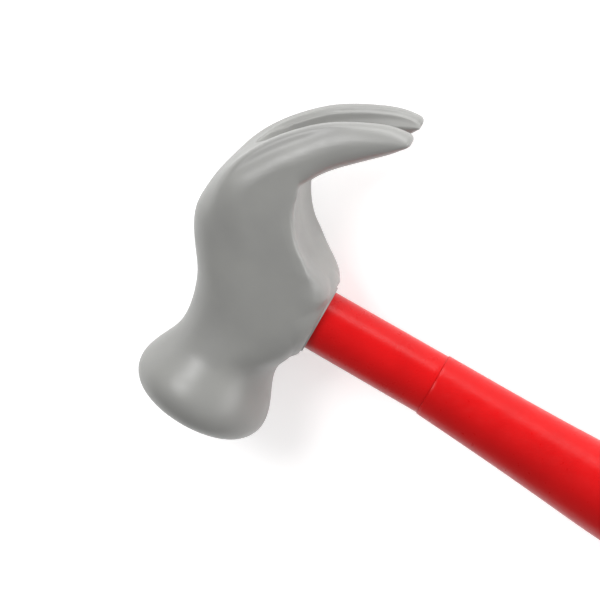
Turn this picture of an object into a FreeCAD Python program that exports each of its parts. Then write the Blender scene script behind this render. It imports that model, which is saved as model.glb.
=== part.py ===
"""Toy claw hammer: a hollow soft-plastic head locked on a two-piece plastic handle.

The hammer lies on its side. Its handle runs along +X from the collar's rim to the butt. The striking
face looks along -Y and the claws rise along +Y. Z is across the head, which is its own mirror image in
the plane through the handle's axis. Sizes are in millimetres. While the pieces are made, the handle's
axis is the X axis and the collar's rim is at X = 0. The last step lays the whole hammer on Z = 0.
"""
import FreeCAD, Part
import math
import os

import Sketcher
from FreeCAD import Placement, Rotation, Vector

doc = FreeCAD.newDocument("toy_claw_hammer")

# ---------------------------------------------------------------- driving dimensions

SIZES = {
    # striking bell
    "bell_diameter": 50.0,
    "bell_edge_radius": 8.8,
    "bell_setback": 24.0,          # collar rim to the bell's axis
    "face_drop": 54.0,             # handle axis to the striking face
    "throat_drop": 24.4,           # handle axis to the narrowest place above the bell
    "throat_diameter": 37.8,
    # head as a shell
    "shell_wall": 2.5,
    "collar_lip": 1.6,             # wall of the thin rim round the neck
    "collar_flare": 5.8,           # how much the collar widens behind its rim
    "collar_rise": 13.0,           # length of that widening
    "collar_depth": 10.0,          # length of neck that the collar grips
    # claws
    "slot_mouth": 15.6,            # slot's width at the claw tips
    "slot_waist": 11.0,            # slot's width where it stops opening fast
    "slot_end": 3.0,               # slot's width at its closed end
    "slot_opening": 7.5,           # length over which the slot opens fast
    "slot_setback": 52.0,          # collar rim to the slot's closed end
    "slot_floor": 48.5,            # handle axis to the slot's floor
    # handle
    "neck_diameter": 22.5,
    "neck_length": 46.0,           # rim to seam
    "tube_wall": 2.2,
    "spigot_step": 2.0,            # how much the neck thins where it enters the cup, per side
    "spigot_length": 21.0,
    "web_thickness": 3.0,
    "tail_seat_length": 4.0,       # length of tail that fits the grip's mouth closely
    "tail_relief": 0.7,            # how much thinner the tail is behind that seat, per side
    "grip_step": 0.35,             # how far the grip stands proud of the neck, per side
    "grip_length": 112.0,
    "grip_middle_diameter": 28.2,
    "grip_butt_diameter": 32.0,
    "grip_middle_setback": 52.0,   # seam to the grip's middle station
    "grip_middle_droop": 2.0,      # how far the grip's axis has sunk towards the face side there
    "grip_swell_setback": 26.0,    # butt end back to where the grip is at its widest
    "grip_droop": 2.9,             # how far the axis has sunk at the butt
    "grip_wall": 2.4,
    # hidden hardware
    "cup_flange_diameter": 30.0,
    "cup_flange_thickness": 3.0,
    "cup_wall": 2.6,
    "cup_floor": 8.0,
    "screw_diameter": 4.0,
    "screw_grip": 7.0,             # length of screw in the cup's boss
    "screw_head_diameter": 8.0,
    "screw_head_height": 2.6,
    "washer_gap": 1.05,            # per side, between the washer's rim and the tube's bore
    "washer_thickness": 1.0,
    "cradle_length": 8.0,
    "cradle_height": 3.0,          # how far the cradle's two horns rise past the handle's axis
    "plug_spigot_length": 9.0,
    "plug_wall": 2.4,
    "plug_flange_thickness": 5.0,
    "plug_edge_radius": 3.0,
    # fits
    "slide_clearance": 0.1,        # per side, between pieces that push together
    "end_clearance": 0.2,          # along the axis, where a piece must not bottom out
}

# The head's side outline above the throat. Each row is one cross-section: its end on the back (the side
# away from the handle), its end on the front, its half width across the head, and how square its front
# and back corners are (2 is an ellipse, more is boxier).
OUTLINE = [
    # name,     back_x, back_y, front_x, front_y, half_width, front_square, back_square
    ("waist",   -43.5,  -15.3,   -3.2,  -16.7, 18.3, 2.8, 2.1),
    ("heel",    -46.8,   -5.4,   -0.9,   -8.0, 18.6, 3.4, 2.2),
    ("middle",  -52.3,    3.3,   -0.9,    5.0, 18.8, 3.8, 2.3),
    ("brow",    -57.4,   12.5,   -1.5,   14.0, 18.9, 4.2, 2.4),
    ("crown",   -58.7,   21.8,  -12.2,   22.2, 18.9, 4.6, 2.4),
    ("ramp",    -57.8,   30.1,  -20.5,   29.0, 18.8, 4.8, 2.4),
    ("root",    -55.1,   38.7,  -26.5,   37.4, 18.4, 4.8, 2.4),
    ("crotch",  -51.1,   48.0,  -28.0,   44.2, 17.9, 4.2, 2.5),
    ("hook",    -45.3,   57.4,  -25.9,   50.5, 17.5, 3.4, 2.6),
    ("rise",    -36.8,   67.0,  -22.1,   55.2, 17.0, 2.8, 2.6),
    ("sweep",   -28.0,   73.6,  -16.2,   61.6, 16.6, 2.6, 2.6),
    ("taper",   -18.0,   79.2,  -10.8,   67.2, 16.2, 2.5, 2.6),
    ("end",     -10.6,   81.8,   -6.6,   72.0, 15.8, 2.4, 2.4),
    ("nose",     -5.6,   82.2,   -4.1,   75.8, 15.3, 2.3, 2.3),
    ("tip",      -3.6,   81.1,   -3.2,   79.0, 14.2, 2.2, 2.2),
]
COLUMNS = ("back_x", "back_y", "front_x", "front_y", "half_width", "front_square", "back_square")

sheet = doc.addObject("Spreadsheet::Sheet", "sizes")


def fill_sheet():
    """Write every driving dimension into the sheet, each with its alias."""
    rows = list(SIZES.items())
    for name, *values in OUTLINE:
        rows += [(f"{name}_{column}", value) for column, value in zip(COLUMNS, values)]
    for number, (alias, value) in enumerate(rows, start=1):
        sheet.set(f"A{number}", alias)
        sheet.set(f"B{number}", str(value))
        sheet.setAlias(f"B{number}", alias)
    doc.recompute()


def size(alias):
    """One driving dimension, as the sheet holds it."""
    return float(getattr(sheet, alias))


# ---------------------------------------------------------------- helpers for sketched bodies

# Sketch lines and circles start out here. Their constraints then move them to their real places.
START = Vector(40, 20, 0)
START_REACH = 9


def add_body(label):
    """An empty body that carries the piece's name."""
    body = doc.addObject("PartDesign::Body", label)
    body.Label = label
    return body


def add_sketch(body, name, role):
    """A sketch on one of the body's own origin planes."""
    sketch = body.newObject("Sketcher::SketchObject", name)
    plane = next(item for item in body.Origin.OriginFeatures if item.Role == role)
    sketch.AttachmentSupport = [(plane, "")]
    sketch.MapMode = "FlatFace"
    return sketch


def place_point(sketch, geometry, point, along, out):
    """Hold one sketch point at two sheet expressions, both measured from the sketch's origin."""
    for kind, expression in (("DistanceX", along), ("DistanceY", out)):
        number = sketch.addConstraint(Sketcher.Constraint(kind, -1, 1, geometry, point, 1.0))
        sketch.setExpression(f"Constraints[{number}]", expression)


def draw_polygon(sketch, corners):
    """A closed outline of straight lines through corners given as pairs of sheet expressions."""
    count = len(corners)
    angles = [2 * math.pi * index / count for index in range(count)]
    spots = [START + Vector(math.cos(angle), math.sin(angle), 0) * START_REACH for angle in angles]
    for index in range(count):
        sketch.addGeometry(Part.LineSegment(spots[index], spots[(index + 1) % count]), False)
    for index in range(count):
        sketch.addConstraint(Sketcher.Constraint("Coincident", index, 2, (index + 1) % count, 1))
    for index, (along, out) in enumerate(corners):
        place_point(sketch, index, 1, along, out)


def turn(body, name, corners):
    """Revolve a closed outline round the handle's axis. Corners are (along, out from the axis)."""
    sketch = add_sketch(body, f"{name}_outline", "XY_Plane")
    draw_polygon(sketch, corners)
    feature = body.newObject("PartDesign::Revolution", name)
    feature.Profile = sketch
    feature.ReferenceAxis = (sketch, ["H_Axis"])
    feature.Angle = 360
    doc.recompute()
    return feature


def draw_ring(body, name, station, radius, rise):
    """A circle across the handle at one station along it, its centre raised by an expression."""
    sketch = add_sketch(body, name, "YZ_Plane")
    sketch.setExpression("AttachmentOffset.Base.z", station)
    sketch.addGeometry(Part.Circle(START, Vector(0, 0, 1), START_REACH), False)
    sketch.addConstraint(Sketcher.Constraint("PointOnObject", 0, 3, -1))
    number = sketch.addConstraint(Sketcher.Constraint("DistanceX", -1, 1, 0, 3, 1.0))
    sketch.setExpression(f"Constraints[{number}]", rise)
    number = sketch.addConstraint(Sketcher.Constraint("Radius", 0, START_REACH))
    sketch.setExpression(f"Constraints[{number}]", radius)
    return sketch


def loft_rings(body, kind, name, rings):
    """Join rings, front to back, into an added or a removed form."""
    sketches = [draw_ring(body, f"{name}_ring_{index}", *ring) for index, ring in enumerate(rings)]
    feature = body.newObject(kind, name)
    feature.Profile = sketches[0]
    feature.Sections = sketches[1:]
    feature.Ruled = False
    doc.recompute()
    return feature


def cut_through(body, name, sketch):
    """Cut a sketch's outline right through the body, both ways from its plane."""
    before = body.Shape.Volume
    pocket = body.newObject("PartDesign::Pocket", name)
    pocket.Profile = sketch
    pocket.Type = "ThroughAll"
    pocket.Reversed = True
    doc.recompute()
    if not body.Shape.Volume < before:
        raise RuntimeError(f"{name} cut nothing")
    return pocket


def edge_name(shape, along, radius):
    """The name of the round edge at this place along the handle, with this radius."""
    for number, edge in enumerate(shape.Edges, start=1):
        curve = edge.Curve
        if not isinstance(curve, Part.Circle):
            continue
        if abs(curve.Center.x - along) < 0.01 and abs(curve.Radius - radius) < 0.01:
            return f"Edge{number}"
    raise RuntimeError("no such edge")


# ---------------------------------------------------------------- places shared by several pieces
# Each is a sheet expression. "along" is measured from the collar's rim, "out" from the handle's axis.

COLLAR_END = "-sizes.collar_depth"
SPIGOT_END = "-(sizes.collar_depth + sizes.spigot_length)"
CUP_FLOOR_TOP = f"({SPIGOT_END} - sizes.end_clearance)"
CUP_FLOOR_END = f"({CUP_FLOOR_TOP} - sizes.cup_floor)"
WEB_BACK = f"({SPIGOT_END} + sizes.web_thickness)"
WASHER_BACK = f"({WEB_BACK} + sizes.washer_thickness)"
SCREW_TIP = f"({CUP_FLOOR_TOP} - sizes.screw_grip)"
SEAM = "sizes.neck_length"
GRIP_MIDDLE = "(sizes.neck_length + sizes.grip_middle_setback)"
CRADLE_FRONT = f"({GRIP_MIDDLE} + sizes.end_clearance)"
TAIL_END = f"({CRADLE_FRONT} + sizes.cradle_length + sizes.end_clearance)"
BUTT = "(sizes.neck_length + sizes.grip_length)"
SWELL = f"({BUTT} - sizes.grip_swell_setback)"

NECK_OUT = "sizes.neck_diameter / 2"
SPIGOT_OUT = "(sizes.neck_diameter / 2 - sizes.spigot_step)"
BORE_OUT = f"({SPIGOT_OUT} - sizes.tube_wall)"
GRIP_FRONT_OUT = "(sizes.neck_diameter / 2 + sizes.grip_step)"
GRIP_MIDDLE_OUT = "(sizes.grip_middle_diameter / 2)"
GRIP_BUTT_OUT = "(sizes.grip_butt_diameter / 2)"
TAIL_OUT = f"({GRIP_FRONT_OUT} - sizes.grip_wall - sizes.slide_clearance)"
TAIL_THIN_OUT = f"({TAIL_OUT} - sizes.tail_relief)"
SCREW_OUT = "sizes.screw_diameter / 2"
SCREW_HOLE_OUT = "(sizes.screw_diameter / 2 + sizes.slide_clearance)"
MIDDLE_DROOP = "-sizes.grip_middle_droop"
DROOP = "-sizes.grip_droop"


# ---------------------------------------------------------------- the head

RING_POINTS = 20


def egg_point(angle, reach, square_front, square_back):
    """A point of a closed curve between an ellipse and a box, one unit along and one across."""
    power = 2 / (square_front if math.cos(angle) > 0 else square_back)
    along = math.copysign(abs(math.cos(angle)) ** power, math.cos(angle))
    across = math.copysign(abs(math.sin(angle)) ** power, math.sin(angle))
    return along * reach[0], across * reach[1]


def cross_section(back, front, half_width, square_front, square_back, inset):
    """One closed wire across the head, from a back point to a front point, set in by a wall."""
    middle = (back + front) / 2
    toward_front = (front - back).normalize()
    reach = (back.distanceToPoint(front) / 2 - inset, half_width - inset)
    points = []
    for index in range(RING_POINTS):
        angle = 2 * math.pi * index / RING_POINTS
        along, across = egg_point(angle, reach, square_front, square_back)
        points.append(middle + toward_front * along + Vector(0, 0, across))
    curve = Part.BSplineCurve()
    curve.interpolate(Points=points, PeriodicFlag=True)
    return Part.Wire([curve.toShape()])


def bell_stations(inset):
    """Rounds of the striking bell as (height below or above the axis, radius), face first."""
    radius = size("bell_diameter") / 2 - inset
    edge = size("bell_edge_radius") - inset
    face = -size("face_drop") + inset
    throat = size("throat_diameter") / 2 - inset
    belly = face + edge
    rise = -size("throat_drop") - belly
    stations = []
    for step in range(5):
        angle = math.radians(90 - 22.5 * step)
        stations.append((belly - edge * math.sin(angle), radius - edge + edge * math.cos(angle)))
    for step in range(1, 6):
        share = step / 5
        ease = share ** 2 * (3 - 2 * share)
        stations.append((belly + rise * share, radius + (throat - radius) * ease))
    return stations


def head_form(inset, last):
    """The head's closed form, set in by a wall, from the striking face to the named cross-section."""
    axis = -size("bell_setback")
    wires = []
    for height, radius in bell_stations(inset):
        back = Vector(axis - radius, height, 0)
        front = Vector(axis + radius, height, 0)
        wires.append(cross_section(back, front, radius, 2, 2, 0))
    for name, *_ in OUTLINE:
        back = Vector(size(f"{name}_back_x"), size(f"{name}_back_y"), 0)
        front = Vector(size(f"{name}_front_x"), size(f"{name}_front_y"), 0)
        squares = (size(f"{name}_front_square"), size(f"{name}_back_square"))
        wires.append(cross_section(back, front, size(f"{name}_half_width"), *squares, inset))
        if name == last:
            break
    return Part.makeLoft(wires, True, False)


def turned_form(corners):
    """A solid turned round the handle's axis from corners given as (along, out)."""
    outline = Part.makePolygon([Vector(along, out, 0) for along, out in corners + corners[:1]])
    return Part.Face(outline).revolve(Vector(0, 0, 0), Vector(1, 0, 0), 360)


def collar_form():
    """The flared collar that leads from the thin rim into the head."""
    rim = size("neck_diameter") / 2 + size("collar_lip")
    flare, rise = size("collar_flare"), size("collar_rise")
    buried = -size("bell_setback")
    corners = [(buried, 0.0), (0.0, 0.0)]
    for step in range(7):
        angle = math.radians(15 * step)
        corners.append((-rise * (1 - math.cos(angle)), rim + flare * math.sin(angle)))
    corners.append((buried, rim))
    return turned_form(corners)


def slot_form():
    """The slot between the claws: it opens fast from its closed end, then slowly to the claws' tips."""
    closed_end = -size("slot_setback")
    waist = closed_end + size("slot_opening")
    mouth = size("tip_back_x")
    floor = size("slot_floor")
    overrun = 8.0
    spread = (size("slot_mouth") - size("slot_waist")) / 2 / (mouth - waist)
    far = size("slot_mouth") / 2 + spread * overrun
    edge = [(closed_end, size("slot_end") / 2), (waist, size("slot_waist") / 2), (mouth + overrun, far)]
    corners = [Vector(along, floor, half) for along, half in edge]
    corners += [Vector(along, floor, -half) for along, half in reversed(edge)]
    face = Part.Face(Part.makePolygon(corners + corners[:1]))
    height = size("tip_back_y") - floor + overrun
    return face.extrude(Vector(0, height, 0))


def make_head_shell():
    """Soft hollow head: outer form and collar, less the cavity, the neck's bore and the cup's seat."""
    shell = doc.addObject("Part::Feature", "head_shell")
    wall = size("shell_wall")
    fit = size("slide_clearance")
    depth = size("collar_depth")
    bore = size("neck_diameter") / 2 + fit
    seat = size("cup_flange_diameter") / 2 + fit
    seat_end = -size("bell_setback")
    solid = head_form(0, "tip").fuse(collar_form())
    solid = solid.cut(slot_form())
    solid = solid.cut(head_form(wall, "crotch"))
    solid = solid.cut(turned_form([(-depth, 0.0), (1.0, 0.0), (1.0, bore), (-depth, bore)]))
    solid = solid.cut(turned_form([(seat_end, 0.0), (-depth, 0.0), (-depth, seat), (seat_end, seat)]))
    shell.Shape = solid
    return shell


# ---------------------------------------------------------------- the handle and what it hides


def make_neck_tube():
    """Rigid tube: spigot with a screwed web, bare neck up to the seam, and a tail inside the grip."""
    body = add_body("neck_tube")
    shoulder = f"({COLLAR_END} + sizes.end_clearance)"
    tail_step = f"({SEAM} + sizes.tail_seat_length)"
    turn(body, "tube", [
        (SPIGOT_END, SCREW_HOLE_OUT), (SPIGOT_END, SPIGOT_OUT),
        (shoulder, SPIGOT_OUT), (shoulder, NECK_OUT),
        (SEAM, NECK_OUT), (SEAM, TAIL_OUT),
        (tail_step, TAIL_OUT), (tail_step, TAIL_THIN_OUT),
        (TAIL_END, TAIL_THIN_OUT), (TAIL_END, BORE_OUT),
        (WEB_BACK, BORE_OUT), (WEB_BACK, SCREW_HOLE_OUT),
    ])
    return body


def make_socket_liner():
    """Rigid cup in the head. Its flange is too wide to come back out through the collar."""
    body = add_body("socket_liner")
    flange_out = "sizes.cup_flange_diameter / 2"
    flange_back = f"({COLLAR_END} - sizes.cup_flange_thickness)"
    bore_out = f"({SPIGOT_OUT} + sizes.slide_clearance)"
    cup_out = f"({bore_out} + sizes.cup_wall)"
    pilot_out = SCREW_OUT
    turn(body, "cup", [
        (COLLAR_END, bore_out), (COLLAR_END, flange_out),
        (flange_back, flange_out), (flange_back, cup_out),
        (CUP_FLOOR_END, cup_out), (CUP_FLOOR_END, pilot_out),
        (CUP_FLOOR_TOP, pilot_out), (CUP_FLOOR_TOP, bore_out),
    ])
    return body


def make_screw_washer():
    """Plain washer between the screw's head and the neck's web."""
    body = add_body("screw_washer")
    rim_out = f"({BORE_OUT} - sizes.washer_gap)"
    turn(body, "disc", [
        (WEB_BACK, SCREW_HOLE_OUT), (WEB_BACK, rim_out),
        (WASHER_BACK, rim_out), (WASHER_BACK, SCREW_HOLE_OUT),
    ])
    return body


def make_neck_screw():
    """Pan-head self-tapping screw that pulls the cup on to the neck's spigot."""
    body = add_body("neck_screw")
    head_out = "sizes.screw_head_diameter / 2"
    head_edge = f"({WASHER_BACK} + sizes.screw_head_height / 2)"
    head_top = f"({WASHER_BACK} + sizes.screw_head_height)"
    point_start = f"({SCREW_TIP} + sizes.screw_diameter / 2)"
    turn(body, "screw", [
        (SCREW_TIP, "0"), (point_start, SCREW_OUT),
        (WASHER_BACK, SCREW_OUT), (WASHER_BACK, head_out),
        (head_edge, head_out), (head_top, f"{head_out} * 0.6"),
        (head_top, "0"),
    ])
    return body


def make_grip_sleeve():
    """Hollow grip that swells and droops towards the butt."""
    body = add_body("grip_sleeve")
    stations = [
        (SEAM, GRIP_FRONT_OUT, "0"),
        (GRIP_MIDDLE, GRIP_MIDDLE_OUT, MIDDLE_DROOP),
        (SWELL, GRIP_BUTT_OUT, DROOP),
        (BUTT, GRIP_BUTT_OUT, DROOP),
    ]
    loft_rings(body, "PartDesign::AdditiveLoft", "outside", stations)
    hollow = [(along, f"({out} - sizes.grip_wall)", rise) for along, out, rise in stations]
    loft_rings(body, "PartDesign::SubtractiveLoft", "hollow", hollow)
    return body


def make_core_cradle():
    """Half-round cradle that fills the gap between the neck's tail and the drooping grip."""
    body = add_body("core_cradle")
    cradle_out = f"({GRIP_MIDDLE_OUT} - sizes.grip_wall - sizes.slide_clearance)"
    block = body.newObject("PartDesign::Pad", "block")
    block.Profile = draw_ring(body, "block_ring", CRADLE_FRONT, cradle_out, MIDDLE_DROOP)
    block.setExpression("Length", "sizes.cradle_length")
    doc.recompute()
    seat_ring = draw_ring(body, "seat_ring", CRADLE_FRONT, f"({TAIL_THIN_OUT} + sizes.slide_clearance)", "0")
    cut_through(body, "seat", seat_ring)
    crop = add_sketch(body, "crop_outline", "YZ_Plane")
    crop.setExpression("AttachmentOffset.Base.z", CRADLE_FRONT)
    draw_polygon(crop, [
        ("sizes.cradle_height", f"-{cradle_out}"), ("sizes.grip_middle_diameter", f"-{cradle_out}"),
        ("sizes.grip_middle_diameter", cradle_out), ("sizes.cradle_height", cradle_out),
    ])
    cut_through(body, "crop", crop)
    return body


def make_butt_plug():
    """Cap that closes the grip's open end and gives the hammer its flat end face."""
    body = add_body("butt_plug")
    spigot_start = f"({BUTT} - sizes.plug_spigot_length)"
    spigot_out = f"({GRIP_BUTT_OUT} - sizes.grip_wall - sizes.slide_clearance)"
    cap_end = f"({BUTT} + sizes.plug_flange_thickness)"
    cap_inside = f"({cap_end} - sizes.plug_wall)"
    hollow_out = f"({spigot_out} - sizes.plug_wall)"
    cap = turn(body, "cap", [
        (spigot_start, hollow_out), (spigot_start, spigot_out),
        (BUTT, spigot_out), (BUTT, GRIP_BUTT_OUT),
        (cap_end, GRIP_BUTT_OUT), (cap_end, "0"),
        (cap_inside, "0"), (cap_inside, hollow_out),
    ])
    end = size("neck_length") + size("grip_length") + size("plug_flange_thickness")
    rim = size("grip_butt_diameter") / 2
    rounding = body.newObject("PartDesign::Fillet", "end_rounding")
    rounding.Base = (cap, [edge_name(cap.Shape, end, rim)])
    rounding.setExpression("Radius", "sizes.plug_edge_radius")
    doc.recompute()
    return body


# ---------------------------------------------------------------- the assembly

def main():
    """Make every piece, lay the hammer down and write each piece to its own file."""
    fill_sheet()
    pieces = [
        make_head_shell(), make_socket_liner(), make_neck_tube(), make_screw_washer(),
        make_neck_screw(), make_grip_sleeve(), make_core_cradle(), make_butt_plug(),
    ]
    doc.recompute()
    own_place = {"butt_plug": Vector(0, -size("grip_droop"), 0)}
    for piece in pieces:
        piece.Placement = Placement(own_place.get(piece.Label, Vector()), Rotation())
    doc.recompute()
    bounds = FreeCAD.BoundBox()
    for piece in pieces:
        bounds.add(piece.Shape.optimalBoundingBox(False))
    shift = Vector(-bounds.Center.x, -bounds.Center.y, -bounds.ZMin)
    for piece in pieces:
        piece.Placement = Placement(piece.Placement.Base + shift, Rotation())
    doc.recompute()
    check(pieces)
    os.makedirs("parts", exist_ok=True)
    for piece in pieces:
        piece.Shape.exportStep(os.path.join("parts", f"{piece.Label}.step"))
    print("handle axis and rim at", [round(value, 3) for value in shift])
    print("overall", [round(value, 2) for value in (bounds.XLength, bounds.YLength, bounds.ZLength)])


def check(pieces):
    """Stop if any object failed or any piece is not one sound solid."""
    for item in doc.Objects:
        if "Invalid" in item.State or "Error" in item.State:
            raise RuntimeError(f"{item.Label} failed: {item.State}")
    for piece in pieces:
        shape = piece.Shape
        if shape.isNull() or not shape.isValid() or len(shape.Solids) != 1:
            raise RuntimeError(f"{piece.Label} is not one sound solid")
        print(f"{piece.Label:14s} volume {shape.Volume / 1000:8.2f} cm3")


main()
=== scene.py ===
# %% [markdown]
# # A toy claw hammer
#
# The object is a child's play hammer. A hollow grey head of soft plastic is pushed over a red plastic
# handle. The construction model gives every piece its place and size. This file gives the pieces
# their skin: soft rounded forms, a satin finish on the head and a glossier one on the handle. It lies
# on its side on a pale floor: its handle runs along +X, its striking face looks to -Y and its claws
# to +Y.

# %% Load the construction model
import math

import bmesh
import bpy
import numpy as np
from mathutils import Matrix, Vector


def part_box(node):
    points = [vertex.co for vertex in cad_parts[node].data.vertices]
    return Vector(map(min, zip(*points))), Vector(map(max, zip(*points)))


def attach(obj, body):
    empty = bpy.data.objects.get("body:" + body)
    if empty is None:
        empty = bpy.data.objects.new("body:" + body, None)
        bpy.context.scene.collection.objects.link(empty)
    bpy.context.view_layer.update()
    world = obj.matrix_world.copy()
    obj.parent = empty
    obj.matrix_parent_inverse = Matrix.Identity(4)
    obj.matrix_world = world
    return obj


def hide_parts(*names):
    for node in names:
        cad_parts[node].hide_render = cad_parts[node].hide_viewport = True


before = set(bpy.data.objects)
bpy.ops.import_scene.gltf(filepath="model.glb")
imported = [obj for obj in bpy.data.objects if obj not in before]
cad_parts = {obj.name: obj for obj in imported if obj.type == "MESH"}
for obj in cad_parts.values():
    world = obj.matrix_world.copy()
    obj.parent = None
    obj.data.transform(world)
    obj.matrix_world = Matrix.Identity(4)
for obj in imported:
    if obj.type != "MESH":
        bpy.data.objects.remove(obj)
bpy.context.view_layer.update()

MM = 0.001

# %% [markdown]
# Every form below is measured from one point: where the handle's axis passes through the collar's
# thin rim. The neck tube gives it. Its axis is the middle of its own box, and its spigot reaches a
# known length into the head. Sizes are written in millimetres from that point, and one function
# places them.

# %% Find the handle's axis and the collar's rim
SPIGOT_REACH = 31.0                    # how far the neck tube goes past the rim, into the head
NECK_LENGTH = 46.0                     # from the rim to the seam
neck_low, neck_high = (Vector(corner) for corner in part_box("neck_tube"))
RIM = Vector((
    neck_low.x + SPIGOT_REACH * MM,
    (neck_low.y + neck_high.y) / 2,
    (neck_low.z + neck_high.z) / 2,
))
NECK_RADIUS = (neck_high.z - neck_low.z) / 2 / MM
print("rim centre in mm:", [round(value / MM, 2) for value in RIM])
print("neck radius in mm:", round(NECK_RADIUS, 2))


def to_world(points):
    """Millimetres from the rim's centre, as metres in the shared frame."""
    return np.asarray(points, float) * MM + np.array(RIM)


# %% [markdown]
# ## The head as one skin
#
# A head like this is cast hollow in a closed mould, so it has no edges that a knife would leave. It
# could be pushed into shape from a ball with a subdivision cage, but the claws and the collar would
# pull the cage apart. Here it is built as a ship's hull is: cross-sections along a curved line, each
# with its back point, its front point and its width. A smooth spline runs through every row of the
# table. The bell's rows are circles, so they are worked out from its radius and its edge.

# %% The head's outline
BELL_AXIS, THROAT_AXIS = -24.0, -23.7  # places along X
FACE, THROAT = -53.9, -24.4            # places along Y
BELL_RADIUS, THROAT_RADIUS = 24.9, 18.9
BELL_EDGE = 8.8                        # radius of the rounding between the face and the bell's side
EDGE_ROWS, TAPER_ROWS = 6, 5           # rows over that edge, and from there to the throat
# back x, back y, front x, front y, half width, front squareness, back squareness
OUTLINE = [
    (-43.5, -15.3, -2.9, -16.7, 18.3, 3.2, 2.1),     # waist
    (-46.8, -5.4, -0.9, -8.0, 18.6, 4.4, 2.2),       # heel
    (-52.3, 3.3, -0.9, 5.0, 18.8, 4.8, 2.3),         # level with the handle
    (-57.4, 12.5, -1.3, 14.7, 18.9, 4.8, 2.4),       # brow
    (-58.6, 21.8, -13.2, 22.3, 18.9, 5.0, 2.4),      # crown
    (-57.8, 30.1, -21.3, 28.4, 18.8, 5.6, 2.4),      # ramp
    (-55.2, 38.7, -27.0, 37.2, 18.4, 6.0, 2.4),      # claw root
    (-50.9, 47.8, -28.4, 44.1, 17.9, 5.4, 2.5),      # crotch
    (-45.1, 56.9, -26.0, 50.4, 17.5, 4.2, 2.6),      # hook
    (-36.6, 66.4, -22.0, 55.0, 17.0, 2.8, 2.6),
    (-27.8, 73.1, -16.0, 61.4, 16.6, 2.6, 2.6),
    (-18.0, 78.4, -10.7, 67.0, 16.2, 2.5, 2.6),
    (-10.3, 81.2, -6.4, 72.0, 15.8, 2.4, 2.4),
    (-5.6, 81.8, -4.6, 74.9, 15.4, 2.3, 2.3),
    (-4.1, 81.6, -3.9, 76.2, 15.0, 2.3, 2.3),
    (-3.35, 80.8, -3.35, 77.3, 14.1, 2.2, 2.2),
    (-3.1, 80.0, -3.1, 78.2, 13.1, 2.2, 2.2),        # tip
]
print("rows in the outline:", len(OUTLINE))


# %% The bell's rows
def rise(low, high, value):
    """0 below low, 1 above high, and a smooth change between. It falls if low is the larger."""
    share = np.clip((value - low) / (high - low), 0, 1)
    return share * share * (3 - 2 * share)


def bell_rows():
    """Round cross-sections from the flat striking face over its rounded edge to the throat."""
    belly = FACE + BELL_EDGE
    rounds = []
    for step in range(EDGE_ROWS + 1):
        angle = math.radians(90 - 90 // EDGE_ROWS * step)
        rounds.append((
            BELL_AXIS,
            belly - BELL_EDGE * math.sin(angle),
            BELL_RADIUS - BELL_EDGE * (1 - math.cos(angle)),
        ))
    for step in range(1, TAPER_ROWS + 1):
        share = step / TAPER_ROWS
        ease = rise(0, 1, share)
        rounds.append((
            BELL_AXIS + (THROAT_AXIS - BELL_AXIS) * ease,
            belly + (THROAT - belly) * share,
            BELL_RADIUS + (THROAT_RADIUS - BELL_RADIUS) * ease,
        ))
    return [(x - r, y, x + r, y, r, 2.0, 2.0) for x, y, r in rounds]


print("rows in the bell:", len(bell_rows()))


# %% A spline through the outline
def natural_spline(knots, rows, places):
    """The smoothest cubic curve through rows at their knots, read at other places."""
    rows = np.array(rows, float)
    gaps = np.diff(knots)
    count = len(rows)
    system = np.eye(count)
    right = np.zeros_like(rows)
    for i in range(1, count - 1):
        system[i, i - 1:i + 2] = gaps[i - 1], 2 * (gaps[i - 1] + gaps[i]), gaps[i]
        right[i] = 6 * ((rows[i + 1] - rows[i]) / gaps[i] - (rows[i] - rows[i - 1]) / gaps[i - 1])
    bend = np.linalg.solve(system, right)
    cell = np.clip(np.searchsorted(knots, places, side="right") - 1, 0, count - 2)
    gap = gaps[cell][:, None]
    left = (knots[cell + 1] - places)[:, None] / gap
    far = 1 - left
    curve = (left ** 3 - left) * bend[cell] + (far ** 3 - far) * bend[cell + 1]
    return left * rows[cell] + far * rows[cell + 1] + curve * gap ** 2 / 6


def knots_along(rows):
    """How far along a curve each of its rows lies, by the straight steps between them."""
    steps = np.linalg.norm(np.diff(rows, axis=0), axis=1)
    return np.concatenate([[0], np.cumsum(steps)])


def spline_through(rows, spacing):
    """A form's table rows, read again at even spacing along the form."""
    rows = np.array(rows, float)
    knots = (knots_along(rows[:, :2]) + knots_along(rows[:, 2:4])) / 2
    places = np.linspace(0, knots[-1], int(knots[-1] / spacing))
    return natural_spline(knots, rows, places)


head_rows = spline_through(bell_rows() + OUTLINE, spacing=0.9)
print("cross-sections along the head:", len(head_rows))

# %% [markdown]
# The claws aren't plain. Along the top of each, a rounded crest follows the slot. Its outer side
# drops as a small step to a sloping shoulder, which leads down to the claw's flank. The step starts
# at the claw's root and fades towards the tip. The ramp between claws and collar is dished between
# two soft ridges, which close in at its foot. So a cross-section isn't one curve: it blends from a
# rounded one, on the head's body, to drawn ones, on the claws and the ramp.

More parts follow.
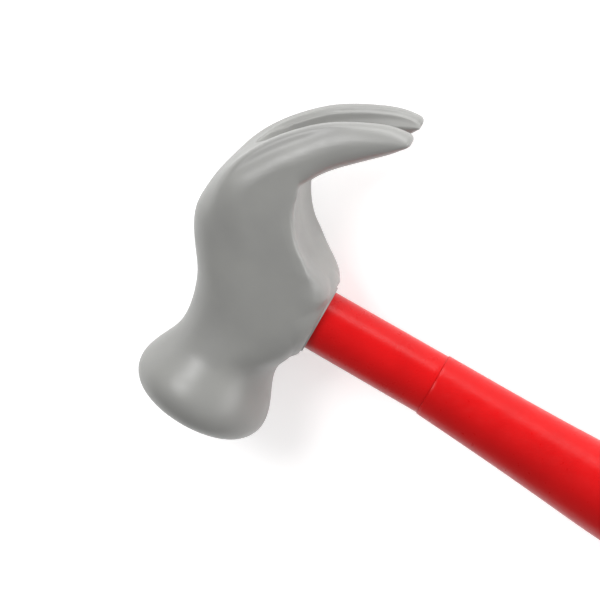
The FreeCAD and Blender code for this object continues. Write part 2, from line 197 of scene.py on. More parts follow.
# %% Draw the claw's back and the ramp
# Half of a claw's back, from the middle line out to the flank. The columns are the share of the half
# width and the millimetres below the outline: with the full step, before the step, and at the tip.
CLAW = np.array([
    # crest
    (0.0, 0.5, 0.5, 1.0), (0.35, 0.45, 0.5, 0.8), (0.5, 0.3, 0.5, 0.35),
    (0.6, 0.1, 0.65, 0.1), (0.68, 0.0, 1.0, 0.03),
    # step
    (0.73, 0.15, 1.45, 0.17), (0.765, 0.5, 1.85, 0.43), (0.79, 1.2, 2.2, 0.75),
    (0.807, 2.2, 2.5, 1.05), (0.82, 3.1, 2.75, 1.3), (0.835, 3.8, 3.05, 1.6),
    # shoulder
    (0.86, 4.6, 3.7, 2.25), (0.9, 5.7, 4.9, 3.4), (0.935, 6.8, 6.3, 4.7),
    # flank
    (0.965, 8.1, 7.9, 6.05), (0.985, 9.4, 9.3, 7.3), (1.0, 11.0, 11.0, 9.0),
])
# Half of the ramp in the same way, with one depth each: next to the claws, and at its foot
RAMP_FRONT = np.array([
    (0.0, 1.7), (0.35, 1.5), (0.6, 1.0), (0.8, 0.3), (0.9, 0.0),               # dish and ridge
    (0.945, 0.2), (0.975, 1.0), (0.99, 2.4), (1.0, 5.0),                       # corner and flank
])
RAMP_FOOT = np.array([
    (0.0, 0.3), (0.25, 0.15), (0.42, 0.0), (0.55, 0.25), (0.68, 0.8),          # dish and ridge
    (0.80, 2.1), (0.90, 4.3), (0.97, 7.4), (1.0, 11.0),                        # round flank
])
# Where each form grows or fades: between two places of a cross-section's middle along Y
CREST_GROWS, STEP_GROWS = (16, 42), (33, 47)
RAMP_GROWS, RAMP_OPENS, RAMP_FADES = (10, 19), (14, 25), (52, 43)
STEP_FADES = (-44, -22)                # and for this one, of its back point along X
DRAWN_DEPTH = 10.0                     # where a cross-section is thinner than this, its relief shrinks
RING = 200                             # points round one cross-section
QUARTER = RING // 4


def drawn_half(table):
    """A drawn half profile as evenly spread points, one for each step of a quarter turn."""
    knots = knots_along(table[:, :2] * np.array([DRAWN_DEPTH * 2, 1.0]))
    return natural_spline(knots, table, np.linspace(0, knots[-1], QUARTER + 1))


claw_half, ramp_front, ramp_foot = (drawn_half(table) for table in (CLAW, RAMP_FRONT, RAMP_FOOT))


def blend_drawn(along, across, side, steps, drawn, weight, reach, half_width, way):
    """Blend a cross-section towards a drawn half, within a quarter turn of its back or front."""
    share, depth = drawn[np.minimum(steps, QUARTER)].T
    drawn_along = way * (reach - depth * min(1, reach / DRAWN_DEPTH))
    drawn_across = half_width * share * side
    weight = weight * (steps <= QUARTER)
    return along + weight * (drawn_along - along), across + weight * (drawn_across - across)


print("points in each drawn half:", len(claw_half))


# %% The slot's width and its rounded edges
SLOT_END, SLOT_TIP = -52.0, -3.0       # where the slot starts and where the claws end, along X
SLOT_NARROW, SLOT_ROUND = 7.4, 2.2     # half its width past the rounded end, and how fast it gets there
SLOT_SPREAD = 0.7                      # how much more it opens by the tips, per side
CREST_RADIUS = 1.2                     # rounding of the claws' edges along the slot
EDGE_GROWS_X, EDGE_GROWS_Y = (-51, -46), (40, 48)
EDGE_TURNS = (0.05, 0.5)               # and the rounding fades where the skin turns to the flank


def slot_half(x):
    """Half the slot's width at a place along the claws: it opens fast at its end, then slowly."""
    run = max(x - SLOT_END, 0.0)
    fast = SLOT_NARROW * (1 - math.exp(-run / SLOT_ROUND))
    return fast + SLOT_SPREAD * run / (SLOT_TIP - SLOT_END)


def edge_rounding(across, cos, back_x, middle_y):
    """How far a point near the slot's edge sinks, so that the edge is round."""
    inside = np.clip(CREST_RADIUS - (np.abs(across) - slot_half(back_x)), 0, CREST_RADIUS)
    sunk = CREST_RADIUS - np.sqrt(CREST_RADIUS ** 2 - inside ** 2)
    sunk = sunk * rise(*EDGE_GROWS_X, back_x) * rise(*EDGE_GROWS_Y, middle_y)
    return np.sign(cos) * sunk * rise(*EDGE_TURNS, np.abs(cos))


print("slot at the tips, in mm:", round(2 * slot_half(SLOT_TIP), 1))


# %% Shape each cross-section
def head_ring(row):
    """The points of one cross-section, in millimetres."""
    back, front = np.array([*row[0:2], 0.0]), np.array([*row[2:4], 0.0])
    half_width, square_front, square_back = row[4:7]
    middle = (back + front) / 2
    reach = np.linalg.norm(front - back) / 2
    ahead = (front - back) / (2 * reach)
    turn = np.arange(RING)
    angle = 2 * np.pi * turn / RING
    cos, sin = np.cos(angle), np.sin(angle)
    power = 2 / np.where(cos > 0, square_front, square_back)
    along = reach * np.sign(cos) * np.abs(cos) ** power
    across = half_width * np.sign(sin) * np.abs(sin) ** power

    on_claw, stepped = rise(*CREST_GROWS, middle[1]), rise(*STEP_GROWS, middle[1])
    fade = rise(*STEP_FADES, back[0])
    share, full, before, tip = claw_half.T
    claw = np.column_stack([share, before + (full + (tip - full) * fade - before) * stepped])
    on_ramp = rise(*RAMP_GROWS, middle[1]) * rise(*RAMP_FADES, middle[1])
    ramp = ramp_foot + (ramp_front - ramp_foot) * rise(*RAMP_OPENS, middle[1])
    from_back, from_front = np.abs(turn - RING // 2), np.minimum(turn, RING - turn)
    for steps, drawn, weight, way in ((from_back, claw, on_claw, -1), (from_front, ramp, on_ramp, 1)):
        along, across = blend_drawn(
            along, across, np.sign(sin), steps, drawn, weight, reach, half_width, way)

    along = along - edge_rounding(across, cos, back[0], middle[1])
    return middle + along[:, None] * ahead + across[:, None] * np.array([0.0, 0.0, 1.0])


print("points round each cross-section:", len(head_ring(head_rows[0])))


# %% [markdown]
# The collar swells out of the head's front to a thin rim round the neck. It is a height above the
# plane of the rim, so each point of the head's front is simply raised to it, with a soft maximum that
# leaves a fillet. That avoids a join between two forms.

# %% Raise the collar out of the head's front
COLLAR_RADIUS = NECK_RADIUS + 1.6
COLLAR_FLARE, COLLAR_RISE = 5.0, 12.0  # how much it widens behind its rim, and over what length
COLLAR_FALL = 9.0                      # beyond the flare it falls away this steeply
COLLAR_FILLET = 4.5
COLLAR_SHIFT = 0.3                     # the collar sits a little towards the claws
COLLAR_REACH = 22.0                    # further than this from its axis the head is left alone
FRONT_STARTS = (-20, -14)              # only the head's front is raised: it starts here along X


def collar_height(radius):
    """How far forward the collar stands at a distance from the handle's axis."""
    out = np.clip((radius - COLLAR_RADIUS) / COLLAR_FLARE, 0, 1)
    dome = -COLLAR_RISE * (1 - np.sqrt(1 - out ** 2))
    return dome - COLLAR_FALL * np.clip(radius - COLLAR_RADIUS - COLLAR_FLARE, 0, None)


def soft_maximum(one, other, fillet):
    """The larger of two heights, with a fillet where they cross."""
    mix = np.clip(0.5 + (one - other) / (2 * fillet), 0, 1)
    return other + (one - other) * mix + fillet * mix * (1 - mix)


def raise_collar(points):
    """Bring the head's front up to the collar, but not past the rim's plane."""
    radius = np.hypot(points[:, 1] - COLLAR_SHIFT, points[:, 2])
    raised = soft_maximum(points[:, 0], collar_height(radius), COLLAR_FILLET)
    raised = np.minimum(raised, np.maximum(points[:, 0], 0.0))
    in_front = rise(*FRONT_STARTS, points[:, 0]) * (radius < COLLAR_REACH)
    points[:, 0] += (raised - points[:, 0]) * in_front
    return points


print("collar's radius at its rim, in mm:", round(COLLAR_RADIUS, 2))


# %% [markdown]
# Rings become a closed mesh with one helper: a grid of quads between rings, and a flat face at each
# end. The handle's parts use it too, because a turned part is also a stack of rings.

# %% Skin a stack of rings
SHARP = math.radians(35)               # an edge that turns more than this is drawn crisp


def skin(name, rings, wrap=False):
    """A mesh object through rings of equal point count. wrap joins the last ring to the first."""
    rings = [np.asarray(ring) for ring in rings]
    count = len(rings[0])
    faces = []
    last = len(rings) if wrap else len(rings) - 1
    for i in range(last):
        a, b = i * count, (i + 1) % len(rings) * count
        for j in range(count):
            k = (j + 1) % count
            faces.append((a + j, b + j, b + k, a + k))
    if not wrap:
        faces.append(tuple(range(count)))
        faces.append(tuple(reversed(range((len(rings) - 1) * count, len(rings) * count))))
    mesh = bpy.data.meshes.new(name)
    mesh.from_pydata(to_world(np.concatenate(rings)).tolist(), [], faces)
    shape = bmesh.new()
    shape.from_mesh(mesh)
    bmesh.ops.recalc_face_normals(shape, faces=shape.faces)
    shape.to_mesh(mesh)
    shape.free()
    mesh.shade_smooth()
    mesh.set_sharp_from_angle(angle=SHARP)
    piece = bpy.data.objects.new(name, mesh)
    bpy.context.scene.collection.objects.link(piece)
    return piece


def circle(x, radius, count=96, drop=0.0):
    """A ring across the handle, its centre lowered towards the striking-face side."""
    angle = 2 * np.pi * np.arange(count) / count
    return np.column_stack([np.full(count, x), radius * np.cos(angle) - drop, radius * np.sin(angle)])


head = skin("head", [raise_collar(head_ring(row)) for row in head_rows])
print("head skin:", len(head.data.polygons), "faces")

# %% [markdown]
# Two cuts are made in the head: the V slot between the claws, and the socket that takes the neck and
# the rigid cup behind it. Each is a simple tool body, taken away with a boolean. Cut edges are knife
# sharp, and a cast skin has none, so the head is then remeshed on a fine even grid and eased.

# %% A tool for the slot
SLOT_FLOOR = 46.0                      # the slot's tool starts at this place along Y
WALL_LEAN = 2.3                        # per side, how much narrower the slot is half way through
WALL_BEND = 0.25                       # the wall bends here too: a share of the claw's thickness
LEAST_HALF, LEAST_WAIST = 0.3, 0.2     # the tool's least half widths, at its edges and its waist
OVERRUN = 4.0                          # how far the tool passes a claw's top and bottom
TIP_STEPS = 6                          # how many steps between rings it runs on past the tips


def slot_tool():
    """The slot between the claws, waisted half way through as a mould's two halves leave it."""
    rings = []
    for row in head_rows:
        if row[0] < SLOT_END or row[1] < SLOT_FLOOR:
            continue
        back, front = np.array(row[0:2]), np.array(row[2:4])
        middle = (back + front) / 2
        half = max(slot_half(row[0]), LEAST_HALF)
        waist = max(half - WALL_LEAN, LEAST_WAIST)
        between = (half + waist) / 2
        end = OVERRUN / np.linalg.norm(front - back) + 0.5
        spots = [(-end, half), (-WALL_BEND, between), (0.0, waist), (WALL_BEND, between), (end, half)]
        spots += [(place, -width) for place, width in reversed(spots)]
        rings.append([(*(middle + (front - back) * place), width) for place, width in spots])
    tip = np.array(rings[-1])
    rings.append(tip + (tip - np.array(rings[-2])) * TIP_STEPS)
    return skin("slot_tool", rings)


print("slot from", SLOT_END, "to", SLOT_TIP, "mm along X")


# %% A tool for the socket
SOCKET_FIT, POCKET_ROOM = 0.1, 1.0     # clearance round the neck and the flange, and round the cup
CUP_FLANGE_RADIUS, CUP_RADIUS, CUP_END = 15.0, 12.1, -39.2
COLLAR_DEPTH, SEAT_DEPTH = 10.0, 8.0
SOCKET_START = 3.0                     # the cut starts this far ahead of the rim


def socket_tool():
    """The collar's bore, then a wider pocket for the flanged cup."""
    bore = NECK_RADIUS + SOCKET_FIT
    seat, pocket = CUP_FLANGE_RADIUS + SOCKET_FIT, CUP_RADIUS + POCKET_ROOM
    seat_end = -COLLAR_DEPTH - SEAT_DEPTH
    profile = [(SOCKET_START, bore), (-COLLAR_DEPTH, bore), (-COLLAR_DEPTH, seat), (seat_end, seat),
               (seat_end, pocket), (CUP_END - POCKET_ROOM, pocket)]
    return skin("socket_tool", [circle(x, radius) for x, radius in profile])


print("socket's bore, in mm:", round(2 * (NECK_RADIUS + SOCKET_FIT), 1))


# %% Cut the head and remesh it
def apply_modifiers(piece):
    """Bake a piece's modifiers into its mesh."""
    bpy.context.view_layer.update()
    graph = bpy.context.evaluated_depsgraph_get()
    mesh = bpy.data.meshes.new_from_object(piece.evaluated_get(graph))
    piece.modifiers.clear()
    piece.data = mesh


for tool in (slot_tool(), socket_tool()):
    cut = head.modifiers.new("cut", "BOOLEAN")
    cut.operation, cut.solver, cut.object = "DIFFERENCE", "MANIFOLD", tool
    apply_modifiers(head)
    bpy.data.objects.remove(tool)

VOXEL = 0.45                           # millimetres
grid = head.modifiers.new("even_grid", "REMESH")
grid.mode, grid.voxel_size = "VOXEL", VOXEL * MM
apply_modifiers(head)
print("head after cuts and remesh:", len(head.data.polygons), "faces")


# %% Ease the cut edges
EASING_ROUNDS = 14
RIM_PLANE = (-3.0, -1.5)               # the rim is ahead of here along X
RIM_RADIUS = 14.5                      # and within this distance of the handle's axis
RIM_KEPT = 0.8                         # the share of the easing that it is spared


def ease(piece, rounds, weight, shrink=0.5, swell=-0.52):
    """Smooth a mesh but keep its size: each round pulls points to their neighbours, then back out."""
    mesh = piece.data
    points = np.empty(len(mesh.vertices) * 3)
    mesh.vertices.foreach_get("co", points)
    points = points.reshape(-1, 3)
    ends = np.empty(len(mesh.edges) * 2, dtype=np.int64)
    mesh.edges.foreach_get("vertices", ends)
    one, two = ends.reshape(-1, 2).T
    near = np.bincount(ends, minlength=len(points))[:, None]
    strength = weight((points - np.array(RIM)) / MM)[:, None]
    for _ in range(rounds):
        for push in (shrink, swell):
            total = np.empty_like(points)
            for axis in range(3):
                total[:, axis] = (np.bincount(one, points[two, axis], len(points))
                                  + np.bincount(two, points[one, axis], len(points)))
            points += push * strength * (total / near - points)
    mesh.vertices.foreach_set("co", points.ravel())
    mesh.update()


def easing(points):
    """Full easing on the claws and the head's body, little at the collar's thin rim."""
    radius = np.hypot(points[:, 1], points[:, 2])
    return 1 - RIM_KEPT * rise(*RIM_PLANE, points[:, 0]) * (radius < RIM_RADIUS)


ease(head, EASING_ROUNDS, easing)
print("eased in", EASING_ROUNDS, "rounds")

# %% [markdown]
# The collar ends in a thin lip, left by the mould's plug. It stands about half a millimetre proud of
# the skin round it and catches the light as a fine line. The even grid is too coarse for it, so the
# mesh is made finer round the rim alone, and the skin outside the lip is then sunk.

# %% Leave the collar's lip proud
LIP_STEP, LIP_EDGE = 0.6, 0.12         # how far the lip stands proud, and half the width of its wall
FOOT_WIDTH, FOOT_FADE = 1.5, 6.0       # the skin is sunk fully, and not at all, this far from the lip
FOOT_DEPTH = (-4, -2)                  # only skin ahead of here along X is sunk
FINE_BAND, FINE_START = 0.8, -2.0      # the finer mesh: width each side of the lip, and start along X


def refine_rim(piece, rounds=2):
    """Split the faces near the collar's rim in four, and those again."""
    shape = bmesh.new()
    shape.from_mesh(piece.data)
    for _ in range(rounds):
        edges = set()
        for face in shape.faces:
            centre = (face.calc_center_median() - RIM) / MM
            off_lip = abs(math.hypot(centre.y, centre.z) - COLLAR_RADIUS)
            if centre.x > FINE_START and off_lip < FINE_BAND:
                edges.update(face.edges)
        bmesh.ops.subdivide_edges(shape, edges=list(edges), cuts=1, use_grid_fill=True)
    shape.to_mesh(piece.data)
    shape.free()


def sink_round_lip(piece):
    """Lower the skin outside the lip, most at its foot."""
    points = np.empty(len(piece.data.vertices) * 3)
    piece.data.vertices.foreach_get("co", points)
    points = points.reshape(-1, 3)
    x, y, z = ((points - np.array(RIM)) / MM).T
    out = np.hypot(y, z) - COLLAR_RADIUS
    wall, foot = rise(-LIP_EDGE, LIP_EDGE, out), rise(FOOT_FADE, FOOT_WIDTH, out)
    sink = LIP_STEP * wall * foot * rise(*FOOT_DEPTH, x)
    points[:, 0] -= sink * MM
    piece.data.vertices.foreach_set("co", points.ravel())
    piece.data.update()


refine_rim(head)
sink_round_lip(head)
print("head with its lip:", len(head.data.polygons), "faces")
head.data.shade_smooth()
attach(head, "root")
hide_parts("head_shell")

# %% [markdown]
# ## The handle
#
# The neck is a moulded tube, so it could be cut from a cylinder and bevelled, but a turned profile
# puts its spigot, web, bare stretch and tail in one clean mesh. The grip starts at a fine seam,
# stands a third of a millimetre proud, and swells and droops towards the butt, so its rings have
# their own centres. The edges at the seam are slightly rounded, as moulded edges are, and that shows
# the seam as a thin line.

# %% Turn the neck tube
SPIGOT_RADIUS = NECK_RADIUS - 2.0      # the part inside the cup
SHOULDER = -9.8                        # where the neck thins to it, along X
BORE_RADIUS, SCREW_HOLE, WEB = SPIGOT_RADIUS - 2.2, 2.1, 3.0
NECK_TAPER = 0.2                       # the mould's draft: the neck is a little thicker at the seam
NECK_EDGE = 0.12                       # rounding of its edge at the seam
TAIL_RADIUS, TAIL_SEAT, TAIL_RELIEF = NECK_RADIUS - 2.15, 4.0, 0.7
TAIL_END = neck_high.x / MM - RIM.x / MM


def rounded_corner(x, radius, edge, steps=4):
    """Points that round a tube's outer corner, from its side to its end at x."""
    angles = [math.pi / 2 * step / steps for step in range(steps + 1)]
    return [(x - edge * (1 - math.sin(a)), radius - edge * (1 - math.cos(a))) for a in angles]


web_back = WEB - SPIGOT_REACH
seat_end, relieved = NECK_LENGTH + TAIL_SEAT, TAIL_RADIUS - TAIL_RELIEF
# a ring every few millimetres, from inside the collar to just before the seam
bare_stretch = [(x, NECK_RADIUS + NECK_TAPER * max(x, 0) / NECK_LENGTH)
                for x in np.linspace(-6, NECK_LENGTH - 2, 12)]
neck_profile = (
    [(-SPIGOT_REACH, SCREW_HOLE), (-SPIGOT_REACH, SPIGOT_RADIUS)]
    + [(SHOULDER, SPIGOT_RADIUS), (SHOULDER, NECK_RADIUS)]
    + bare_stretch
    + rounded_corner(NECK_LENGTH, NECK_RADIUS + NECK_TAPER, NECK_EDGE)
    + [(NECK_LENGTH, TAIL_RADIUS), (seat_end, TAIL_RADIUS), (seat_end, relieved)]
    + [(TAIL_END, relieved), (TAIL_END, BORE_RADIUS), (web_back, BORE_RADIUS), (web_back, SCREW_HOLE)]
)
neck = skin("neck", [circle(x, radius) for x, radius in neck_profile], wrap=True)
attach(neck, "root")
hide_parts("neck_tube")
print("neck visible for", NECK_LENGTH, "mm")

# %% Skin the grip
GRIP_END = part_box("grip_sleeve")[1][0] / MM - RIM.x / MM
GRIP_FRONT_RADIUS = NECK_RADIUS + 0.55
GRIP_WALL, GRIP_EDGE = 2.4, 0.3        # its thickness, and the rounding of its edge at the seam
# along, radius, droop: the seam, the middle, the swell and the butt end
GRIP_STATIONS = [(NECK_LENGTH, GRIP_FRONT_RADIUS, 0.0), (NECK_LENGTH + 52.0, 14.1, 2.0),
                 (GRIP_END - 26.0, 16.0, 2.9), (GRIP_END, 16.0, 2.9)]


def grip_ring(row, wall=0.0):
    """The grip's outside at one of its rows, or its inside one wall further in."""
    return circle(row[0], row[4] - wall, drop=row[1])


def front_ring(angle):
    """A ring on the rounded edge at the seam."""
    return circle(NECK_LENGTH + GRIP_EDGE * (1 - math.sin(angle)),
                  GRIP_FRONT_RADIUS - GRIP_EDGE * (1 - math.cos(angle)))


rows = [(x, droop, x, droop, radius, 2, 2) for x, radius, droop in GRIP_STATIONS]
grip_rows = spline_through(rows, spacing=1.2)
outside = [front_ring(angle) for angle in np.radians([90, 67.5, 45, 22.5])]
outside += [grip_ring(row) for row in grip_rows[1:]]
inside = [grip_ring(row, GRIP_WALL) for row in grip_rows[::-1]]
grip = skin("grip", outside + inside, wrap=True)
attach(grip, "root")
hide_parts("grip_sleeve")
print("grip from", NECK_LENGTH, "to", round(GRIP_END, 1), "mm")

# %% Close the grip with its plug
PLUG_FLANGE, PLUG_EDGE, PLUG_WALL, PLUG_SPIGOT = 5.0, 3.0, 2.4, 9.0
PLUG_BEVEL = 0.3                       # where the plug's flange meets the grip
BUTT_RADIUS, BUTT_DROOP = GRIP_STATIONS[-1][1], GRIP_STATIONS[-1][2]
plug_end, plug_start = GRIP_END + PLUG_FLANGE, GRIP_END - PLUG_SPIGOT
plug_inside = plug_end - PLUG_WALL
plug_spigot = BUTT_RADIUS - GRIP_WALL - 0.1
plug_hollow = plug_spigot - PLUG_WALL
corner = [(plug_end - PLUG_EDGE * (1 - math.sin(a)), BUTT_RADIUS - PLUG_EDGE * (1 - math.cos(a)))
          for a in np.radians(np.arange(0, 91, 10))]
plug_profile = (
    [(plug_inside, 0.0), (plug_inside, plug_hollow), (plug_start, plug_hollow)]
    + [(plug_start, plug_spigot), (GRIP_END, plug_spigot)]
    + [(GRIP_END, BUTT_RADIUS - PLUG_BEVEL), (GRIP_END + PLUG_BEVEL, BUTT_RADIUS)]
    + corner + [(plug_end, 0.0)]
)
plug = skin("plug", [circle(x, max(radius, 0.05), drop=BUTT_DROOP) for x, radius in plug_profile])
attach(plug, "root")
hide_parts("butt_plug")
print("plug ends", round(plug_end, 1), "mm from the rim")

# %% [markdown]
# ## Finishes
#
# There are three plastics and one metal. The grey head is soft PVC cast by rotation: its skin copies
# a blasted mould, so it is satin, with broad soft highlights and a very fine tooth. The red handle is
# moulded from a harder plastic, most likely polypropylene, with a higher gloss, and the grip's
# highlight is slightly mottled because its wall cooled unevenly. The cup and the cradle inside are
# milky natural polyethylene, and the screw and the washer are zinc plated. Each could be one flat
# colour, but it is the small changes of gloss and the faint waves that tell the eye it is moulded, so
# every finish gets those from noise at its own real scale.

# %% Helpers for materials
def linear(hex_colour):
    """An sRGB hex colour as linear red, green, blue and alpha."""
    parts = [int(hex_colour[i:i + 2], 16) / 255 for i in (1, 3, 5)]
    return [c / 12.92 if c <= 0.04045 else ((c + 0.055) / 1.055) ** 2.4 for c in parts] + [1.0]


def add_node(tree, kind, links=(), **settings):
    """Add one node. Settings name its sockets or properties, and links are (socket, source socket)."""
    node = tree.nodes.new(kind)
    for name, value in settings.items():
        label = name.replace("_", " ")
        socket = next((item for item in node.inputs if item.name.lower() == label.lower()), None)
        if socket is not None and not hasattr(node, name):
            socket.default_value = value
        else:
            setattr(node, name, value)
    for socket, source in links:
        tree.links.new(source, node.inputs[socket])
    return node


def new_material(name, **shader_settings):
    """A material with one Principled shader, returned with its tree and shader."""
    material = bpy.data.materials.new(name)
    material.use_nodes = True
    tree = material.node_tree
    shader = tree.nodes["Principled BSDF"]
    for name, value in shader_settings.items():
        shader.inputs[name.replace("_", " ")].default_value = value
    return material, tree, shader


def per_metre(feature_mm):
    """A noise scale whose blobs are about this many millimetres across."""
    return 1 / (feature_mm * MM)


print("noise scale for blobs of 5 mm:", per_metre(5))


# %% Grey rotocast PVC
def rotocast_pvc():
    """Soft grey PVC copied from a blasted mould: satin, faintly uneven, with a fine tooth."""
    material, tree, shader = new_material("rotocast_pvc", IOR=1.53)
    place = add_node(tree, "ShaderNodeTexCoord").outputs["Object"]
    # pigment that is a shade uneven from end to end
    cloud = add_node(tree, "ShaderNodeTexNoise", [("Vector", place)], Scale=per_metre(22), Detail=3.0)
    tint = add_node(tree, "ShaderNodeValToRGB", [("Fac", cloud.outputs["Fac"])])
    tint.color_ramp.elements[0].position, tint.color_ramp.elements[1].position = 0.3, 0.7
    tint.color_ramp.elements[0].color = linear("#828280")
    tint.color_ramp.elements[1].color = linear("#898986")
    tree.links.new(tint.outputs["Color"], shader.inputs["Base Color"])
    # duller and glossier patches, where hands have polished it
    handled = add_node(tree, "ShaderNodeTexNoise", [("Vector", place)], Scale=per_metre(6), Detail=4.0)
    polish = add_node(tree, "ShaderNodeMapRange", [("Value", handled.outputs["Fac"])],
                      From_Min=0.3, From_Max=0.7, To_Min=0.33, To_Max=0.41)
    tree.links.new(polish.outputs["Result"], shader.inputs["Roughness"])
    # the blasted mould's tooth, drawn coarser than the real tenth of a millimetre so that it can show,
    # and the slight sag of a soft wall
    tooth = add_node(tree, "ShaderNodeTexNoise", [("Vector", place)], Scale=per_metre(0.5), Detail=2.0)
    sag = add_node(tree, "ShaderNodeTexNoise", [("Vector", place)], Scale=per_metre(14), Detail=1.0)
    fine = add_node(tree, "ShaderNodeBump", [("Height", tooth.outputs["Fac"])],
                    Strength=0.12, Distance=0.1 * MM)
    broad = add_node(tree, "ShaderNodeBump",
                     [("Height", sag.outputs["Fac"]), ("Normal", fine.outputs["Normal"])],
                     Strength=0.25, Distance=0.4 * MM)
    tree.links.new(broad.outputs["Normal"], shader.inputs["Normal"])
    return material


grey = rotocast_pvc()
print("made", grey.name)


# %% Red moulded polypropylene
def moulded_polypropylene(name, mottle):
    """Semi-gloss red polypropylene. mottle is how uneven its surface is, from 0 to 1."""
    # its shine is set low, so that the broad lamps don't wash the red out
    material, tree, shader = new_material(name, IOR=1.5, Specular_IOR_Level=0.2)
    place = add_node(tree, "ShaderNodeTexCoord").outputs["Object"]
    cloud = add_node(tree, "ShaderNodeTexNoise", [("Vector", place)], Scale=per_metre(16), Detail=3.0)
    tint = add_node(tree, "ShaderNodeValToRGB", [("Fac", cloud.outputs["Fac"])])
    tint.color_ramp.elements[0].position, tint.color_ramp.elements[1].position = 0.3, 0.7
    tint.color_ramp.elements[0].color = linear("#B80508")
    tint.color_ramp.elements[1].color = linear("#C2080B")
    tree.links.new(tint.outputs["Color"], shader.inputs["Base Color"])
    # small patches where the melt lay less closely against the mould
    patches = add_node(tree, "ShaderNodeTexNoise", [("Vector", place)], Scale=per_metre(3), Detail=4.0)
    polish = add_node(tree, "ShaderNodeMapRange", [("Value", patches.outputs["Fac"])],
                      From_Min=0.3, From_Max=0.7, To_Min=0.27, To_Max=0.27 + 0.12 * mottle)
    tree.links.new(polish.outputs["Result"], shader.inputs["Roughness"])
    # waves left as the wall cooled
    waves = add_node(tree, "ShaderNodeTexNoise", [("Vector", place)], Scale=per_metre(5), Detail=2.0)
    bump = add_node(tree, "ShaderNodeBump", [("Height", waves.outputs["Fac"])],
                    Strength=0.2 + 0.5 * mottle, Distance=0.15 * MM)
    tree.links.new(bump.outputs["Normal"], shader.inputs["Normal"])
    return material


neck_red = moulded_polypropylene("moulded_polypropylene_neck", mottle=0.2)
grip_red = moulded_polypropylene("moulded_polypropylene_grip", mottle=1.0)
print("made", neck_red.name, "and", grip_red.name)


# %% Natural polyethylene, for the cup and the cradle
def natural_polyethylene():
    """Moulded polyethylene without pigment: milky, with faint flow streaks."""
    material, tree, shader = new_material("natural_polyethylene", IOR=1.51, Roughness=0.45)
    place = add_node(tree, "ShaderNodeTexCoord").outputs["Object"]
    streaks = add_node(tree, "ShaderNodeTexNoise", [("Vector", place)], Scale=per_metre(4), Detail=3.0)
    tint = add_node(tree, "ShaderNodeValToRGB", [("Fac", streaks.outputs["Fac"])])
    tint.color_ramp.elements[0].color = linear("#DDDBD2")
    tint.color_ramp.elements[1].color = linear("#EBE9E1")
    tree.links.new(tint.outputs["Color"], shader.inputs["Base Color"])
    bump = add_node(tree, "ShaderNodeBump", [("Height", streaks.outputs["Fac"])],
                    Strength=0.2, Distance=0.1 * MM)
    tree.links.new(bump.outputs["Normal"], shader.inputs["Normal"])
    return material


white = natural_polyethylene()
print("made", white.name)


# %% Zinc plate, for the screw and the washer
def zinc_plated_steel():
    """Bright zinc on steel: a cool grey metal with a fine crystal grain in its gloss."""
    material, tree, shader = new_material("zinc_plated_steel", Metallic=1.0)
    place = add_node(tree, "ShaderNodeTexCoord").outputs["Object"]
    grain = add_node(tree, "ShaderNodeTexNoise", [("Vector", place)], Scale=per_metre(0.4), Detail=3.0)
    tint = add_node(tree, "ShaderNodeValToRGB", [("Fac", grain.outputs["Fac"])])
    tint.color_ramp.elements[0].color = linear("#A9ADB2")
    tint.color_ramp.elements[1].color = linear("#C4C8CC")
    tree.links.new(tint.outputs["Color"], shader.inputs["Base Color"])
    polish = add_node(tree, "ShaderNodeMapRange", [("Value", grain.outputs["Fac"])],
                      To_Min=0.28, To_Max=0.42)
    tree.links.new(polish.outputs["Result"], shader.inputs["Roughness"])
    return material


zinc = zinc_plated_steel()
print("made", zinc.name)


# %% Dress every piece
def dress(piece, material):
    """Give a piece one material and no other."""
    piece.data.materials.clear()
    piece.data.materials.append(material)


for piece, finish in ((head, grey), (neck, neck_red), (grip, grip_red), (plug, grip_red)):
    dress(piece, finish)
for name in ("socket_liner", "core_cradle"):
    dress(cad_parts[name], white)
for name in ("screw_washer", "neck_screw"):
    dress(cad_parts[name], zinc)
print("dressed:", sorted(piece.name for piece in (head, neck, grip, plug)), "and four hidden nodes")

# %% [markdown]
# ## Floor, light and camera
#
# The floor is a plain pale sheet. Four soft lamps light the hammer: a key lamp up to the left gives
# the bell and the neck their broad highlights, a long one above lights the claws and the head's back,
# one to the right lights the ramp, and a weak one low down fills the collar's side. A pale
# surrounding lifts the shadows. The camera looks down from the claws' side, 22 degrees off the
# vertical, and is rolled so that the handle runs down to the right. One strong lamp would be simpler,
# but its shadow would be hard.

# %% Lay the floor
FLOOR_HALF = 3.0                       # metres
corners = [(x * FLOOR_HALF, y * FLOOR_HALF, 0) for x, y in ((-1, -1), (1, -1), (1, 1), (-1, 1))]
floor_mesh = bpy.data.meshes.new("floor")
floor_mesh.from_pydata(corners, [], [(0, 1, 2, 3)])
floor = bpy.data.objects.new("floor", floor_mesh)
bpy.context.scene.collection.objects.link(floor)
paper, *_ = new_material("pale_paper", Base_Color=linear("#F6F6F6"), Roughness=0.9,
                         Emission_Color=linear("#FFFFFF"), Emission_Strength=0.4)
dress(floor, paper)
print("floor:", 2 * FLOOR_HALF, "m square")

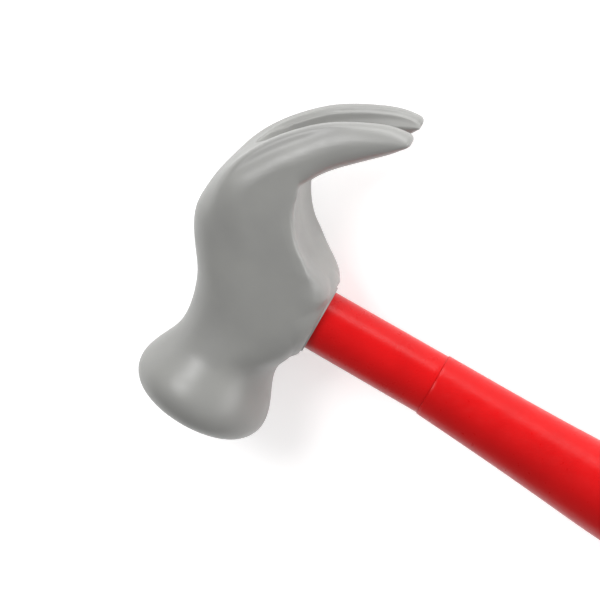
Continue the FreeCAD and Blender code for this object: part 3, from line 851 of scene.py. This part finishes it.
# %% Aim the camera
TILT = math.radians(22)                # off the vertical, from the claws' side
HANDLE_SLOPE = math.radians(29.9)      # how far below level the handle's axis runs in the picture
PICTURE_WIDTH = 212.8                  # millimetres across the picture at the hammer
DISTANCE = 3000.0                      # millimetres: far off, so that near and far parts keep one scale
SENSOR = 36.0
along_handle = Vector((1, 0, 0))
toward_claws = Vector((0, math.cos(TILT), -math.sin(TILT)))
right = along_handle * math.cos(HANDLE_SLOPE) + toward_claws * math.sin(HANDLE_SLOPE)
up = toward_claws * math.cos(HANDLE_SLOPE) - along_handle * math.sin(HANDLE_SLOPE)
backward = right.cross(up)
AIM = RIM + Vector((-9.7, 2.75, 0)) * MM    # the point in the middle of the picture
camera_data = bpy.data.cameras.new("camera")
camera_data.sensor_width = SENSOR
camera_data.lens = SENSOR * DISTANCE / PICTURE_WIDTH
camera = bpy.data.objects.new("camera", camera_data)
bpy.context.scene.collection.objects.link(camera)
place = Matrix((right, up, backward)).transposed().to_4x4()
place.translation = AIM + backward * DISTANCE * MM
camera.matrix_world = place
bpy.context.scene.camera = camera
print("camera at", [round(value, 3) for value in camera.location])
print("lens in mm:", round(camera_data.lens, 1))


# %% Set the lamps
LAMP_DISTANCE = 1.3                    # metres from what the camera aims at
# name, direction in the picture's axes (right, up, to the camera), width and height in metres, watts
LAMPS = [
    ("key_softbox", (-0.5, 0.25, 0.82), 0.55, 0.55, 8.5),
    ("top_softbox", (0.05, 0.85, 0.5), 1.3, 0.5, 12.5),
    ("right_softbox", (0.95, 0.15, 0.35), 0.6, 1.2, 12),
    ("low_fill", (0.7, -0.3, 0.65), 0.5, 0.5, 3),
]
for name, toward, width, height, watts in LAMPS:
    way = (right * toward[0] + up * toward[1] + backward * toward[2]).normalized()
    lamp_data = bpy.data.lights.new(name, "AREA")
    lamp_data.shape, lamp_data.energy = "RECTANGLE", watts
    lamp_data.size, lamp_data.size_y = width, height
    lamp = bpy.data.objects.new(name, lamp_data)
    lamp.location = AIM + way * LAMP_DISTANCE
    lamp.rotation_euler = way.to_track_quat("Z", "Y").to_euler()
    bpy.context.scene.collection.objects.link(lamp)
print("lamps:", [lamp[0] for lamp in LAMPS])

# %% Set the pale surrounding
ROOM_LIGHT = 0.38
world = bpy.data.worlds.new("pale_room")
world.use_nodes = True
background = world.node_tree.nodes["Background"]
background.inputs["Color"].default_value = linear("#FFFFFF")
background.inputs["Strength"].default_value = ROOM_LIGHT
bpy.context.scene.world = world
bpy.context.scene.view_settings.view_transform = "Standard"
print("light from all round:", ROOM_LIGHT)
